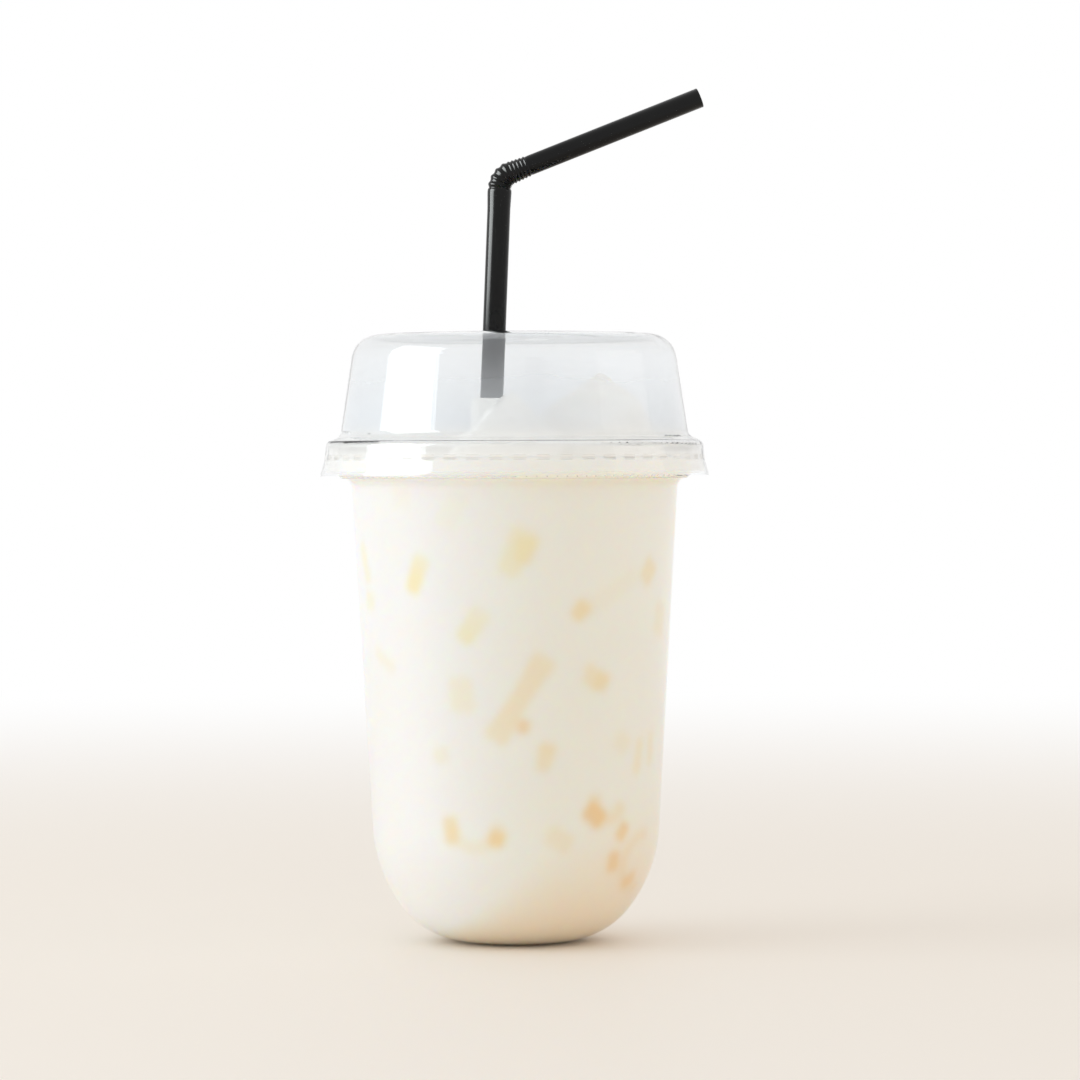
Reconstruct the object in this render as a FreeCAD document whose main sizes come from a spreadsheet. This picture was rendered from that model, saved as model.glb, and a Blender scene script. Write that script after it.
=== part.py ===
import FreeCAD, Part
import Sketcher
import math
import os
from collections import namedtuple
from FreeCAD import Placement, Rotation, Vector

# A round-bottomed clear plastic cup with a press-on flat-topped lid, filled with a milk
# drink.  Two ice cubes stand out of the drink and a bendy straw leans in it.
#
# Frame: millimetres, +Z up, origin at the centre of the cup's base, on the surface that
# the cup stands on.  +X is to the right, and the front of the cup faces -Y.

# ---------------------------------------------------------------- driving dimensions
SIZES = {
    # cup
    "cup_height": 121.1,            # from the base to the top of the rolled rim
    "cup_wall": 0.5,
    "rim_radius": 45.0,             # outside of the rolled rim
    "curl_radius": 0.7,             # inside radius of the roll
    "curl_flat": 0.2,               # straight stretch over the top of the roll
    "curl_drop": 2.3,               # how far the roll comes down outside
    "collar_height": 8.75,          # from the shoulder to the top of the rim
    "collar_corner": 1.2,
    "shoulder_width": 3.22,         # from the wall out to the collar
    "neck_fillet": 2.5,
    "wall_draft": 3.24,             # lean of the wall, in degrees like every angle here
    "heel_angle": 52.8,             # slope at which the heel arc hands over to the belly
    "heel_share": 0.58,             # heel radius as a share of the belly radius
    "belly_ease": 0.985,            # under 1, it leaves a short straight between the two
    "base_radius": 11.4,            # outside of the flat ring that the cup stands on
    "punt_radius": 8.4,             # inside of that ring
    "punt_depth": 0.7,
    "punt_slope": 35.0,
    "punt_fillet": 0.6,
    # lid
    "lid_wall": 0.4,
    "lid_rise": 26.05,              # from the rim up to the flat top
    "lid_seat_gap": 0.25,           # between the roll and the ledge that sits on it
    "ledge_slope": 25.0,
    "ledge_width": 2.48,            # from the crown's foot out to over the rim's edge
    "lid_draft": 8.6,
    "lid_corner": 6.4,
    "lid_foot_fillet": 2.0,
    "skirt_gap": 0.4,               # between the rim and the skirt round it
    "skirt_height": 8.2,            # from the rim down to the lower edge
    "skirt_draft": 6.0,
    "skirt_corner": 1.6,
    "hem_flare": 1.35,              # the lower edge flares out this far, to the widest part
    "hem_height": 0.6,
    "flare_slope": 16.0,
    "flare_fillet": 1.2,
    "bead_count": 52,               # beads inside the skirt, which catch under the roll
    "bead_depth": 0.9,
    "bead_height": 1.5,
    "bead_angle": 3.6,
    "bead_gap": 0.7,                # from the roll's lower edge down to the beads
    "hole_gap": 0.4,                # round the straw, in the lid's top
    "slit_length": 15.0,
    "slit_width": 0.8,
    # straw
    "straw_radius": 2.8,
    "neck_swell": 0.2,              # the straw is this much wider under the bellows
    "neck_length": 4.5,
    "spout_taper": 0.38,            # and its spout this much narrower
    "straw_wall": 0.25,
    "straw_offset": -4.85,          # where its axis passes through the lid's top
    "straw_lean": 2.4,
    "straw_rise": 38.15,            # from the lid's top to the corner of the bend
    "straw_foot_gap": 0.3,
    "bend_turn": 66.0,
    "bend_radius": 4.15,
    "bend_swing": 3.0,              # how far the spout turns to the back
    "ridge_rise": 0.15,             # crown of a ridge, outside the straw's own surface
    "valley_sink": 0.35,
    "open_ridges": 4,               # stretched, round the bend
    "tight_ridges": 5,              # pushed together, after the bend
    "tight_length": 4.7,
    "spout_length": 45.0,
    # drink and ice
    "milk_below_rim": 3.9,
    "milk_gap": 0.15,               # round whatever stands in the drink
    "ice_fillet": 2.6,
    "ice_front_edge": 20.0,
    "ice_front_side": 4.0,          # centre, to the right of the straw
    "ice_front_gap": 1.4,           # between the straw and the cube in front of it
    "ice_front_lift": 1.4,          # centre, above the level of the drink
    "ice_right_edge": 21.0,
    "ice_right_share": 0.54,        # centre, on the way from the straw to the wall
    "ice_right_depth": 6.5,
    "ice_right_lift": 5.0,
}

# Turns of the ice cubes about X, Y and Z
ICE_FRONT_TURNS = (18.0, 43.0, 0.0)
ICE_RIGHT_TURNS = (28.0, -34.0, 15.0)

# Where a ridge's crown starts and ends, as shares of the way from one valley to the next
CROWN_SHARES = (0.36, 0.64)

# How far a solid that only cuts runs on past what it cuts
RUN_ON = 2.0

doc = FreeCAD.newDocument("cup_of_milk")
sheet = doc.addObject("Spreadsheet::Sheet", "Dimensions")
for row, (alias, number) in enumerate(SIZES.items(), start=1):
    sheet.set(f"A{row}", alias)
    sheet.set(f"B{row}", str(number))
    sheet.setAlias(f"B{row}", alias)
doc.recompute()


# ---------------------------------------------------------------- numbers with a formula
class Size(float):
    """A number that keeps the spreadsheet formula it comes from."""

    def __new__(cls, number, formula=None):
        size = super().__new__(cls, number)
        size.formula = formula or f"({float(number):.9f})"
        return size

    def __add__(self, other):
        return joined(self, "+", other, float(self) + float(other))

    def __radd__(self, other):
        return joined(other, "+", self, float(other) + float(self))

    def __sub__(self, other):
        return joined(self, "-", other, float(self) - float(other))

    def __rsub__(self, other):
        return joined(other, "-", self, float(other) - float(self))

    def __mul__(self, other):
        return joined(self, "*", other, float(self) * float(other))

    def __rmul__(self, other):
        return joined(other, "*", self, float(other) * float(self))

    def __truediv__(self, other):
        return joined(self, "/", other, float(self) / float(other))

    def __neg__(self):
        return joined(0, "-", self, -float(self))


def as_size(number):
    return number if isinstance(number, Size) else Size(number)


def joined(left, sign, right, number):
    return Size(number, f"({as_size(left).formula} {sign} {as_size(right).formula})")


def sine(angle):
    return Size(math.sin(math.radians(angle)), f"sin({as_size(angle).formula})")


def cosine(angle):
    return Size(math.cos(math.radians(angle)), f"cos({as_size(angle).formula})")


def tangent(angle):
    return Size(math.tan(math.radians(angle)), f"tan({as_size(angle).formula})")


def size(alias):
    return Size(sheet.get(alias), f"Dimensions.{alias}")


# ---------------------------------------------------------------- outlines
# An outline is a chain of straight lines, rounded where they meet.  A line is held by the
# direction of its outward normal, in degrees up from +X, and its distance from the origin.
Line = namedtuple("Line", "normal distance")
Corner = namedtuple("Corner", "across up radius")

AXIS = Line(180, 0)


def level(height, faces_up=True):
    """A horizontal line."""
    return Line(90, height) if faces_up else Line(-90, -height)


def sloped(normal, across, up):
    """The line with this outward normal through one point."""
    return Line(normal, cosine(normal) * across + sine(normal) * up)


def meet(first, second, radius=None):
    """The corner where two lines cross."""
    turn = sine(as_size(second.normal) - first.normal)
    across = first.distance * sine(second.normal) - second.distance * sine(first.normal)
    up = second.distance * cosine(first.normal) - first.distance * cosine(second.normal)
    return Corner(across / turn, up / turn, radius)


def moved_in(line, depth):
    return Line(line.normal, line.distance - depth)


def inner_chain(lines, radii, depth):
    """The same chain, deeper in the material, with its rounding centred on the same points."""
    turns = [second.normal - first.normal for first, second in zip(lines, lines[1:])]
    deeper = [radius - depth if turn > 0 else radius + depth
              for radius, turn in zip(radii, turns)]
    return [moved_in(line, depth) for line in lines], deeper


def chain_corners(lines, radii):
    return [meet(*pair, radius) for *pair, radius in zip(lines, lines[1:], radii)]


def wall_corners(lines, radii, wall, first_end, last_end):
    """The closed outline of a wall of even thickness that has this chain as its outside."""
    inside, inside_radii = inner_chain(lines, radii, wall)
    outer = [meet(first_end, lines[0]), *chain_corners(lines, radii),
             meet(lines[-1], last_end)]
    inner = [meet(first_end, inside[0]), *chain_corners(inside, inside_radii),
             meet(inside[-1], last_end)]
    return outer + inner[::-1]


def rounding(before, here, after, radius):
    """Where the rounding of a corner starts and ends, and its arc as a sketch holds it."""
    back = (before - here).normalize()
    ahead = (after - here).normalize()
    half = back.getAngle(ahead) / 2
    reach = radius / math.tan(half)
    centre = here + (back + ahead).normalize() * (radius / math.sin(half))
    start, end = here + back * reach, here + ahead * reach
    turns_left = back.cross(ahead).z < 0
    first, last = (start, end) if turns_left else (end, start)
    angles = [math.atan2(point.y - centre.y, point.x - centre.x) for point in (first, last)]
    if angles[1] < angles[0]:
        angles[1] += 2 * math.pi
    arc = Part.ArcOfCircle(Part.Circle(centre, Vector(0, 0, 1), float(radius)), *angles)
    return start, end, arc, turns_left


def draw_outline(sketch, corners):
    """Draws a closed outline, with each corner's place and radius bound to its formula."""
    points = [Vector(corner.across, corner.up, 0) for corner in corners]
    starts, ends, arcs = list(points), list(points), {}
    for index, corner in enumerate(corners):
        if corner.radius is not None:
            before, after = points[index - 1], points[(index + 1) % len(points)]
            starts[index], ends[index], arc, turns_left = rounding(
                before, points[index], after, corner.radius)
            arcs[index] = (arc, turns_left)
    sides = [sketch.addGeometry(Part.LineSegment(ends[index - 1], starts[index]), False)
             for index in range(len(corners))]
    links, bound = [], []
    for index, corner in enumerate(corners):
        before, after = sides[index], sides[(index + 1) % len(sides)]
        if index in arcs:
            arc, turns_left = arcs[index]
            near, far = (1, 2) if turns_left else (2, 1)
            curve = sketch.addGeometry(arc, False)
            mark = sketch.addGeometry(Part.Point(points[index]), True)
            links.append(Sketcher.Constraint("Tangent", before, 2, curve, near))
            links.append(Sketcher.Constraint("Tangent", after, 1, curve, far))
            links.append(Sketcher.Constraint("PointOnObject", mark, 1, before))
            links.append(Sketcher.Constraint("PointOnObject", mark, 1, after))
            bound.append((corner.radius, "Radius", (curve,)))
        else:
            mark = after
            links.append(Sketcher.Constraint("Coincident", before, 2, after, 1))
        bound.append((corner.across, "DistanceX", (-1, 1, mark, 1)))
        bound.append((corner.up, "DistanceY", (-1, 1, mark, 1)))
    sketch.addConstraint(links)
    for number, kind, where in bound:
        held = sketch.addConstraint(Sketcher.Constraint(kind, *where, float(number)))
        sketch.setExpression(f"Constraints[{held}]", as_size(number).formula)


# ---------------------------------------------------------------- bodies
def new_body(name):
    body = doc.addObject("PartDesign::Body", name)
    body.Label = name
    return body


def new_sketch(body, name, plane="XZ_Plane"):
    sketch = body.newObject("Sketcher::SketchObject", name)
    role = [origin for origin in body.Origin.OriginFeatures if origin.Role == plane][0]
    sketch.AttachmentSupport = [(role, "")]
    sketch.MapMode = "FlatFace"
    return sketch


def revolve(body, name, corners):
    """Adds the solid that an outline sweeps round the vertical axis."""
    sketch = new_sketch(body, f"{name}_outline")
    draw_outline(sketch, corners)
    turned = body.newObject("PartDesign::Revolution", name)
    turned.Profile = sketch
    turned.ReferenceAxis = (sketch, ["V_Axis"])
    turned.Angle = 360
    sketch.Visibility = False
    return turned


# ---------------------------------------------------------------- cup
rim_top = size("cup_height")
shoulder = rim_top - size("collar_height")
roll_foot = rim_top - size("curl_drop")
roll_inside = size("rim_radius") - size("cup_wall")
collar_radius = roll_inside - size("curl_radius") * 2 - size("curl_flat")
neck_radius = collar_radius - size("shoulder_width")

# The heel and the belly fill the corner between the base ring and the wall: both radii
# grow together until the wall's line is reached.
wall_normal = -size("wall_draft")
heel_normal = size("heel_angle") - 90
belly_turn = 90 - size("wall_draft") - size("heel_angle")
wall_at_base = neck_radius - shoulder * tangent(size("wall_draft"))
heel_reach = size("heel_share") * tangent(size("heel_angle") / 2)
slope_reach = heel_reach + tangent(belly_turn / 2)
spread = (heel_reach + slope_reach * cosine(size("heel_angle"))
          - slope_reach * sine(size("heel_angle")) * tangent(size("wall_draft")))
belly_radius = (wall_at_base - size("base_radius")) / spread
heel_radius = belly_radius * size("heel_share")

CUP_LINES = [
    level(size("punt_depth"), faces_up=False),
    sloped(-90 - size("punt_slope"), size("punt_radius"), 0),
    level(0, faces_up=False),
    sloped(heel_normal, size("base_radius") + heel_radius * tangent(size("heel_angle") / 2),
           0),
    sloped(wall_normal, neck_radius, shoulder),
    level(shoulder, faces_up=False),
    Line(0, collar_radius),
    level(rim_top - size("cup_wall"), faces_up=False),
    Line(-180, -roll_inside),
]
CUP_RADII = [
    size("punt_fillet"),
    size("punt_fillet") + size("cup_wall"),
    heel_radius,
    belly_radius * size("belly_ease"),
    size("neck_fillet"),
    size("collar_corner"),
    size("curl_radius"),
    size("curl_radius"),
]


def make_cup():
    cup = new_body("cup")
    roll_end = level(roll_foot, faces_up=False)
    revolve(cup, "cup_wall_round",
            wall_corners(CUP_LINES, CUP_RADII, size("cup_wall"), AXIS, roll_end))
    return cup


# ---------------------------------------------------------------- lid
roll_radius = size("curl_radius") + size("cup_wall")
roll_line = sloped(90 - size("ledge_slope"), size("rim_radius") - roll_radius,
                   rim_top - roll_radius)
ledge_line = moved_in(roll_line, -(roll_radius + size("lid_seat_gap") + size("lid_wall")))
lid_top = rim_top + size("lid_rise")
lid_bottom = rim_top - size("skirt_height")
skirt_radius = size("rim_radius") + size("skirt_gap") + size("lid_wall")
skirt_line = sloped(size("skirt_draft"), skirt_radius, rim_top)
hem_radius = skirt_radius + size("hem_flare")

LID_LINES = [
    Line(0, hem_radius),
    sloped(size("flare_slope"), hem_radius, lid_bottom + size("hem_height")),
    skirt_line,
    ledge_line,
    sloped(size("lid_draft"), size("rim_radius") - size("ledge_width"), rim_top),
    level(lid_top),
]
LID_RADII = [
    size("flare_fillet"),
    size("flare_fillet"),
    size("skirt_corner"),
    size("lid_foot_fillet"),
    size("lid_corner"),
]


def add_beads(lid):
    """A ring of short beads inside the skirt, which catch under the cup's roll."""
    root = moved_in(skirt_line, size("lid_wall") / 2)
    top = roll_foot - size("bead_gap")
    crest = moved_in(skirt_line, size("lid_wall") + size("bead_depth"))
    upper = meet(root, level(top))
    tip = meet(crest, level(top - size("bead_height") / 2))
    lower = meet(root, level(top - size("bead_height")))
    sketch = new_sketch(lid, "bead_outline")
    draw_outline(sketch, [upper, tip, lower])
    bead = lid.newObject("PartDesign::Revolution", "bead")
    bead.Profile = sketch
    bead.ReferenceAxis = (sketch, ["V_Axis"])
    bead.setExpression("Angle", size("bead_angle").formula)
    doc.recompute()
    ring = lid.newObject("PartDesign::PolarPattern", "bead_ring")
    ring.Originals = [bead]
    ring.Axis = (sketch, ["V_Axis"])
    ring.Angle = 360
    ring.Occurrences = SIZES["bead_count"]
    lid.Tip = ring


def cut_in_top(lid, name, draw):
    """Cuts a shape, drawn about the straw's axis, up through the lid's top."""
    sketch = new_sketch(lid, f"{name}_outline", "XY_Plane")
    sketch.setExpression("AttachmentOffset.Base.x", size("straw_offset").formula)
    sketch.setExpression("AttachmentOffset.Base.z", (lid_top - size("lid_rise") / 2).formula)
    draw(sketch)
    cut = lid.newObject("PartDesign::Pocket", name)
    cut.Profile = sketch
    cut.Reversed = True
    cut.setExpression("Length", size("lid_rise").formula)
    lid.Tip = cut


def draw_hole(sketch):
    radius = size("straw_radius") + size("hole_gap")
    circle = Part.Circle(Vector(), Vector(0, 0, 1), float(radius))
    edge = sketch.addGeometry(circle, False)
    sketch.addConstraint(Sketcher.Constraint("Coincident", edge, 3, -1, 1))
    held = sketch.addConstraint(Sketcher.Constraint("Radius", edge, float(radius)))
    sketch.setExpression(f"Constraints[{held}]", radius.formula)


def draw_slit(length, width):
    def draw(sketch):
        corners = [(-1, -1), (1, -1), (1, 1), (-1, 1)]
        draw_outline(sketch, [Corner(length / 2 * along, width / 2 * up, None)
                              for along, up in corners])
    return draw


def make_lid():
    lid = new_body("lid")
    lower_edge = level(lid_bottom, faces_up=False)
    revolve(lid, "lid_wall_round",
            wall_corners(LID_LINES, LID_RADII, size("lid_wall"), lower_edge, AXIS))
    add_beads(lid)
    cut_in_top(lid, "straw_hole", draw_hole)
    long_side, short_side = size("slit_length"), size("slit_width")
    cut_in_top(lid, "slit_across", draw_slit(long_side, short_side))
    cut_in_top(lid, "slit_along", draw_slit(short_side, long_side))
    return lid


# ---------------------------------------------------------------- straw
def tilted(angle):
    """The direction this far from upright, to the right."""
    return Vector(math.sin(math.radians(angle)), 0, math.cos(math.radians(angle)))


neck_of_straw = size("straw_radius") + size("neck_swell")
ridge_radius = size("straw_radius") + size("ridge_rise")
valley_radius = size("straw_radius") - size("valley_sink")
spout_radius = size("straw_radius") - size("spout_taper")

stem = tilted(size("straw_lean"))
spout = Rotation(Vector(0, 0, 1), size("bend_swing")).multVec(
    tilted(size("straw_lean") + size("bend_turn")))
bend_angle = stem.getAngle(spout)
bend_side = stem.cross(spout).normalize()
bend_inward = (spout - stem * math.cos(bend_angle)) * (1 / math.sin(bend_angle))

hole_point = Vector(size("straw_offset"), 0, lid_top)
bend_corner = hole_point + stem * (size("straw_rise") / stem.z)
bend_start = bend_corner - stem * (size("bend_radius") * math.tan(bend_angle / 2))
bend_centre = bend_start + bend_inward * size("bend_radius")


def floor_height(radius):
    """Height of the cup's floor at this distance from its axis, over the punt or the heel."""
    wall = size("cup_wall")
    over_punt = max(0.0, size("punt_radius") + wall - radius) * tangent(size("punt_slope"))
    over_heel = max(0.0, radius - size("base_radius"))
    heel_inside = heel_radius - wall
    heel_rise = heel_inside - math.sqrt(heel_inside ** 2 - over_heel ** 2)
    return wall + min(size("punt_depth"), over_punt) + heel_rise


def straw_foot():
    """The end of the straw's axis, where both sides of its rim clear the cup's floor."""
    reach = abs(hole_point.x - stem.x / stem.z * lid_top)
    radius = size("straw_radius")
    drop = stem.x * radius
    outer_side = floor_height(reach + radius) - drop
    inner_side = floor_height(abs(reach - radius)) + drop
    height = max(outer_side, inner_side) + size("straw_foot_gap")
    return hole_point - stem * ((lid_top - height) / stem.z)


def along_bend(angle):
    """Place and direction of the straw's axis, this far round the bend."""
    place = (bend_centre - bend_inward * (size("bend_radius") * math.cos(angle))
             + stem * (size("bend_radius") * math.sin(angle)))
    return place, stem * math.cos(angle) + bend_inward * math.sin(angle)


def bellows_stations():
    """Rings of the bellows as (place, direction, radius): valley, crown, crown, valley."""
    profile = [(0.0, valley_radius), *((share, ridge_radius) for share in CROWN_SHARES)]
    stations = []
    for index in range(SIZES["open_ridges"]):
        for share, radius in profile:
            turned = bend_angle * (index + share) / SIZES["open_ridges"]
            stations.append((*along_bend(turned), radius))
    bend_end = along_bend(bend_angle)[0]
    pitch = size("tight_length") / SIZES["tight_ridges"]
    for index in range(SIZES["tight_ridges"]):
        for share, radius in profile:
            stations.append((bend_end + spout * (pitch * (index + share)), spout, radius))
    stations.append((bend_end + spout * size("tight_length"), spout, valley_radius))
    return stations


def straw_stations():
    """Every ring of the straw, from its foot to the open end of its spout."""
    ease = valley_radius / 4
    bellows = bellows_stations()
    spout_start = bellows[-1][0]
    return [
        (straw_foot(), stem, size("straw_radius")),
        (hole_point, stem, size("straw_radius")),
        (bend_start - stem * size("neck_length"), stem, size("straw_radius")),
        (bend_start - stem * ease, stem, neck_of_straw),
        *bellows,
        (spout_start + spout * ease, spout, spout_radius),
        (spout_start + spout * size("spout_length"), spout, spout_radius),
    ]


def loft_rings(name, stations, inset):
    """A solid through rings set square to the straw's axis."""
    rings = []
    for index, (place, direction, radius) in enumerate(stations):
        ring = doc.addObject("Part::Circle", f"{name}_ring_{index}")
        ring.setExpression("Radius", (radius - inset).formula)
        across = bend_side.cross(direction)
        ring.Placement = Placement(place, Rotation(across, bend_side, direction, "ZXY"))
        rings.append(ring)
    solid = doc.addObject("Part::Loft", name)
    solid.Sections = rings
    solid.Solid = True
    solid.Ruled = True
    return solid


def lengthened(stations, extra):
    """The same rings, with the two end rings pushed out, for a bore open at both ends."""
    first, *middle, last = stations
    return [(first[0] - first[1] * extra, first[1], first[2]), *middle,
            (last[0] + last[1] * extra, last[1], last[2])]


def make_straw():
    stations = straw_stations()
    outside = loft_rings("straw_outside", stations, 0.0)
    bore = loft_rings("straw_bore", lengthened(stations, RUN_ON), size("straw_wall"))
    straw = doc.addObject("Part::Cut", "straw")
    straw.Label = "straw"
    straw.Base = outside
    straw.Tool = bore
    return straw


# ---------------------------------------------------------------- ice
milk_top = rim_top - size("milk_below_rim")


def turned(turns):
    """The rotation that turns about X, then Y, then Z."""
    tilt = Rotation()
    for axis, angle in zip((Vector(1, 0, 0), Vector(0, 1, 0), Vector(0, 0, 1)), turns):
        tilt = Rotation(axis, angle).multiply(tilt)
    return tilt


def half_reach(edge, turns, axis):
    """How far a turned cube reaches from its centre along an axis."""
    row = turned(turns).inverted().multVec(axis)
    return edge / 2 * sum(abs(share) for share in row)


def straw_across(height):
    """Where the straw's axis is, sideways, at this height."""
    return size("straw_offset") - (lid_top - height) * tangent(size("straw_lean"))


ice_front_centre = (
    straw_across(milk_top) + size("ice_front_side"),
    -(size("straw_radius") + size("ice_front_gap")
      + half_reach(size("ice_front_edge"), ICE_FRONT_TURNS, Vector(0, 1, 0))),
    milk_top + size("ice_front_lift"),
)
straw_side = straw_across(milk_top) + size("straw_radius")
inner_wall = collar_radius - size("cup_wall")
ice_right_centre = (
    straw_side + (inner_wall - straw_side) * size("ice_right_share"),
    size("ice_right_depth"),
    milk_top + size("ice_right_lift"),
)


def ice_cube(name, edge, centre, turns, grow=0.0):
    """A rounded cube, or with grow its pocket in the drink."""
    body = new_body(name)
    block = body.newObject("PartDesign::AdditiveBox", f"{name}_block")
    for side in ("Length", "Width", "Height"):
        block.setExpression(side, (edge + grow * 2).formula)
    for axis in "xyz":
        block.setExpression(f"Placement.Base.{axis}", (-(edge + grow * 2) / 2).formula)
    doc.recompute()
    edges = [f"Edge{number}" for number in range(1, 13)]
    rounded = body.newObject("PartDesign::Fillet", f"{name}_rounding")
    rounded.Base = (block, edges)
    rounded.setExpression("Radius", (size("ice_fillet") + grow).formula)
    body.Placement = Placement(Vector(), turned(turns))
    for axis, place in zip("xyz", centre):
        body.setExpression(f"Placement.Base.{axis}", place.formula)
    return body


def make_ice_front(name="ice_front", grow=0.0):
    return ice_cube(name, size("ice_front_edge"), ice_front_centre, ICE_FRONT_TURNS, grow)


def make_ice_right(name="ice_right", grow=0.0):
    return ice_cube(name, size("ice_right_edge"), ice_right_centre, ICE_RIGHT_TURNS, grow)


# ---------------------------------------------------------------- drink
def make_milk():
    """Fills the cup to its level, with room for the straw and the ice."""
    lines, radii = inner_chain(CUP_LINES[:7], CUP_RADII[:6], size("cup_wall") + size("milk_gap"))
    top = level(milk_top)
    filling = new_body("milk_filling")
    revolve(filling, "milk_round",
            [meet(AXIS, lines[0]), *chain_corners(lines, radii), meet(lines[-1], top),
             meet(top, AXIS)])
    sleeve = doc.addObject("Part::Cylinder", "straw_sleeve")
    sleeve.setExpression("Radius", (size("straw_radius") + size("milk_gap")).formula)
    sleeve.setExpression("Height", lid_top.formula)
    sleeve.Placement = Placement(straw_foot() - stem * RUN_ON, Rotation(Vector(0, 0, 1), stem))
    rooms = [
        sleeve,
        make_ice_front("ice_front_room", size("milk_gap")),
        make_ice_right("ice_right_room", size("milk_gap")),
    ]
    body = filling
    for room in rooms:
        cut = doc.addObject("Part::Cut", f"milk_round_{room.Name}")
        cut.Base = body
        cut.Tool = room
        body = cut
    body.Label = "milk"
    return body


# ---------------------------------------------------------------- build and write
parts = [
    make_cup(),
    make_lid(),
    make_straw(),
    make_ice_front(),
    make_ice_right(),
    make_milk(),
]
doc.recompute()

for item in doc.Objects:
    if "Invalid" in item.State or "Error" in item.State:
        raise RuntimeError(f"{item.Label} did not build: {item.State}")
for item in parts:
    if item.Shape.isNull() or not item.Shape.isValid() or len(item.Shape.Solids) != 1:
        raise RuntimeError(f"{item.Label} is not one valid solid")

os.makedirs("parts", exist_ok=True)
for item in parts:
    item.Shape.exportStep(f"parts/{item.Label}.step")
    box = item.Shape.BoundBox
    print(f"{item.Label}: {item.Shape.Volume:.0f} mm3, z {box.ZMin:.2f} to {box.ZMax:.2f}, "
          f"x {box.XMin:.2f} to {box.XMax:.2f}, y {box.YMin:.2f} to {box.YMax:.2f}")
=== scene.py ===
import math
import random

import bpy
from mathutils import Matrix, Vector
from mathutils.bvhtree import BVHTree


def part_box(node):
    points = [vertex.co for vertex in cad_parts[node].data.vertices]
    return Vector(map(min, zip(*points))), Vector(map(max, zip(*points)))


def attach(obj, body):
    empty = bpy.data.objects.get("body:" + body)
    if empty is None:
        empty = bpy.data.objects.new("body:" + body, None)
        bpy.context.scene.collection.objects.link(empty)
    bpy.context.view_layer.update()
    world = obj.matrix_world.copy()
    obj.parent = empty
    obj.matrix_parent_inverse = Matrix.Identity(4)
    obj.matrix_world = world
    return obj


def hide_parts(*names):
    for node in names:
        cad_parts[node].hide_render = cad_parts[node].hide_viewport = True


# A round-bottomed clear cup of milk drink with amber jelly, ice, a tall clear lid and a
# black bendy straw.  Metres, +Z up, the front of the cup faces -Y, +X is to the right.

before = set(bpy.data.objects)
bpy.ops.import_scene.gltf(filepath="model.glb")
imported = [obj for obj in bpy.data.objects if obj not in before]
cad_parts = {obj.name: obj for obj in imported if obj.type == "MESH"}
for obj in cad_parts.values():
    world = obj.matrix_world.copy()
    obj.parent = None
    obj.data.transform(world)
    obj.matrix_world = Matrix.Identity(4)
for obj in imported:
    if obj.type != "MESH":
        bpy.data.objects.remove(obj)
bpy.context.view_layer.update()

MM = 0.001

# Levels of the cup and the lid, and the cup's own sizes, in millimetres and degrees.
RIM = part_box("cup")[1][2] / MM
LID_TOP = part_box("lid")[1][2] / MM
MILK_TOP = RIM - 3.9
SHOULDER = RIM - 8.75
WALL_DRAFT = 3.24
HEEL_TURN = 52.8
HEEL_RADIUS = 20.52
BELLY_RADIUS = 35.38
BASE_RADIUS = 11.4
NECK_RADIUS = 39.68
NECK_FILLET = 2.5
COLLAR_STEP = 3.22


# ---------------------------------------------------------------- modelling
def start_afresh():
    """Leaves edit mode and selects nothing."""
    if bpy.context.object and bpy.context.object.mode != "OBJECT":
        bpy.ops.object.mode_set(mode="OBJECT")
    bpy.ops.object.select_all(action="DESELECT")


def take(piece):
    """Makes one piece the only one selected, and active."""
    start_afresh()
    piece.select_set(True)
    bpy.context.view_layer.objects.active = piece


def edit(select="EDGE"):
    bpy.ops.object.mode_set(mode="EDIT")
    bpy.ops.mesh.select_mode(type=select)


def settle(piece, angle=None):
    """Puts a piece's place into its mesh and shades it smooth."""
    take(piece)
    bpy.ops.object.transform_apply(location=True, rotation=True, scale=True)
    if angle is None:
        bpy.ops.object.shade_smooth()
    else:
        bpy.ops.object.shade_smooth_by_angle(angle=math.radians(angle))
    return piece


def finish_modifier(piece, kind, **settings):
    """Adds a modifier, sets it and applies it."""
    take(piece)
    modifier = piece.modifiers.new(kind.lower(), kind)
    for name, value in settings.items():
        setattr(modifier, name, value)
    bpy.ops.object.modifier_apply(modifier=modifier.name)


def draw_rings(rings):
    """From the selected ring, extrudes one ring after another and scales it to its radius."""
    for (radius, height), (next_radius, next_height) in zip(rings, rings[1:]):
        bpy.ops.mesh.extrude_region_move(
            TRANSFORM_OT_translate={"value": (0, 0, next_height - height)})
        share = next_radius / radius
        bpy.ops.transform.resize(value=(share, share, 1), center_override=(0, 0, 0))


def turned_solid(name, rings, segments):
    """A solid of rings from its underside to its top, both closed at the axis."""
    start_afresh()
    radius, height = rings[0]
    bpy.ops.mesh.primitive_circle_add(vertices=segments, radius=radius,
                                      location=(0, 0, height), fill_type="NGON")
    piece = bpy.context.object
    piece.name = name
    edit("FACE")
    draw_rings(rings)
    bpy.ops.mesh.merge(type="CENTER")
    bpy.ops.mesh.select_all(action="SELECT")
    bpy.ops.mesh.normals_make_consistent(inside=False)
    return settle(piece)


def turned_shell(name, rings, segments):
    """A skin of rings.  A last ring on the first closes it into a wall."""
    start_afresh()
    radius, height = rings[0]
    bpy.ops.mesh.primitive_circle_add(vertices=segments, radius=radius,
                                      location=(0, 0, height), fill_type="NOTHING")
    piece = bpy.context.object
    piece.name = name
    edit("EDGE")
    draw_rings(rings)
    bpy.ops.mesh.select_all(action="SELECT")
    bpy.ops.mesh.remove_doubles(threshold=1e-6)
    bpy.ops.mesh.normals_make_consistent(inside=False)
    return settle(piece)


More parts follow.
